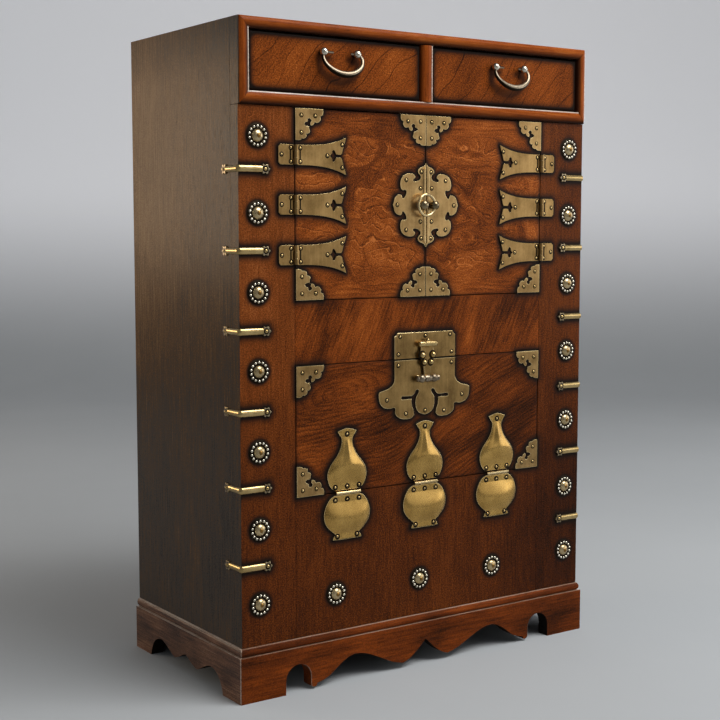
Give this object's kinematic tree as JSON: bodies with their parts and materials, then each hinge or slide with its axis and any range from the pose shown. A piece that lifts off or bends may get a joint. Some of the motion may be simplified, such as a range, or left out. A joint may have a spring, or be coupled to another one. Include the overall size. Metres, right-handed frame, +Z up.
{
  "type": "bandaji chest",
  "caption": "Tall wooden chest with drawers over paired doors over a drop front, cut-brass hinges and locks, on a scalloped plinth.",
  "frame": {"origin": "on the floor, under the middle of the bounding box", "axes": "+Z up, -Y out of the front, +X to the right seen from the front"},
  "size_m": [0.622, 0.3273, 0.908],
  "materials": {
    "front_wood": "satin lacquer",
    "frame_wood": "satin lacquer",
    "side_wood": "dark satin lacquer",
    "inner_wood": "bare",
    "brass": "antique satin"
  },
  "bodies": {
    "chest": {"left_side": "side_wood", "right_side": "side_wood", "top_panel": "side_wood", "bottom_panel": "inner_wood", "back_panel": "inner_wood", "middle_shelf": "inner_wood", "drawer_shelf": "inner_wood", "left_stile": "front_wood", "right_stile": "front_wood", "middle_rail": "front_wood", "lower_front_panel": "front_wood", "plinth_front": "frame_wood", "plinth_left": "frame_wood", "plinth_right": "frame_wood", "plinth_back": "inner_wood", "drawer_frame_top_rail": "frame_wood", "drawer_frame_bottom_rail": "frame_wood", "drawer_frame_left_stile": "frame_wood", "drawer_frame_right_stile": "frame_wood", "drawer_divider": "frame_wood", "left_hinge_1_stile_leaf": "brass", "left_hinge_2_stile_leaf": "brass", "left_hinge_3_stile_leaf": "brass", "right_hinge_1_stile_leaf": "brass", "right_hinge_2_stile_leaf": "brass", "right_hinge_3_stile_leaf": "brass", "left_gourd_lower_leaf": "brass", "middle_gourd_lower_leaf": "brass", "right_gourd_lower_leaf": "brass", "rail_lock_plate": "brass"},
    "left_drawer": {"left_drawer_front": "front_wood", "left_drawer_box": "inner_wood", "left_drawer_left_post": "brass", "left_drawer_right_post": "brass"},
    "left_bail": {"left_drawer_bail": "brass"},
    "right_drawer": {"right_drawer_front": "front_wood", "right_drawer_box": "inner_wood", "right_drawer_left_post": "brass", "right_drawer_right_post": "brass"},
    "right_bail": {"right_drawer_bail": "brass"},
    "left_door": {"left_door_panel": "front_wood", "left_hinge_1_door_leaf": "brass", "left_hinge_2_door_leaf": "brass", "left_hinge_3_door_leaf": "brass", "left_lock_plate_half": "brass", "left_door_knob": "brass"},
    "right_door": {"right_door_panel": "front_wood", "right_hinge_1_door_leaf": "brass", "right_hinge_2_door_leaf": "brass", "right_hinge_3_door_leaf": "brass", "right_lock_plate_half": "brass", "right_door_ring_eye": "brass"},
    "door_ring": {"door_lock_ring": "brass"},
    "drop_front": {"drop_front_panel": "front_wood", "left_gourd_upper_leaf": "brass", "middle_gourd_upper_leaf": "brass", "right_gourd_upper_leaf": "brass", "drop_front_lock_plate": "brass", "hasp_staple": "brass"},
    "hasp": {"hasp_strap": "brass"}
  },
  "joints": [
    {"name": "left_drawer_slide", "type": "slide", "parent": "chest", "child": "left_drawer", "axis": [0, -1, 0], "range_m": [0, 0.2]},
    {"name": "right_drawer_slide", "type": "slide", "parent": "chest", "child": "right_drawer", "axis": [0, -1, 0], "range_m": [0, 0.2]},
    {"name": "left_bail_swing", "type": "hinge", "parent": "left_drawer", "child": "left_bail", "pos_m": [-0.14985, -0.15685, 0.8697], "axis": [-1, 0, 0], "range_deg": [0, 100]},
    {"name": "right_bail_swing", "type": "hinge", "parent": "right_drawer", "child": "right_bail", "pos_m": [0.14985, -0.15685, 0.8697], "axis": [-1, 0, 0], "range_deg": [0, 100]},
    {"name": "right_door_hinge", "type": "hinge", "parent": "chest", "child": "right_door", "pos_m": [0.219, -0.15335, 0.5385], "axis": [0, 0, 1], "range_deg": [0, 110]},
    {"name": "left_door_hinge", "type": "hinge", "parent": "chest", "child": "left_door", "pos_m": [-0.219, -0.15335, 0.5385], "axis": [0, 0, -1], "range_deg": [0, 110]},
    {"name": "door_ring_swing", "type": "hinge", "parent": "right_door", "child": "door_ring", "pos_m": [0.0104, -0.15885, 0.6685], "axis": [0, 0, 1], "range_deg": [0, 170]},
    {"name": "drop_front_hinge", "type": "hinge", "parent": "chest", "child": "drop_front", "pos_m": [0, -0.15335, 0.27], "axis": [1, 0, 0], "range_deg": [0, 150]},
    {"name": "hasp_hinge", "type": "hinge", "parent": "drop_front", "child": "hasp", "pos_m": [0, -0.15735, 0.4215], "axis": [1, 0, 0], "range_deg": [0, 160]}
  ],
  "couplings": [
    {"joint": "left_door_hinge", "follows": "right_door_hinge", "ratio": 1}
  ]
}
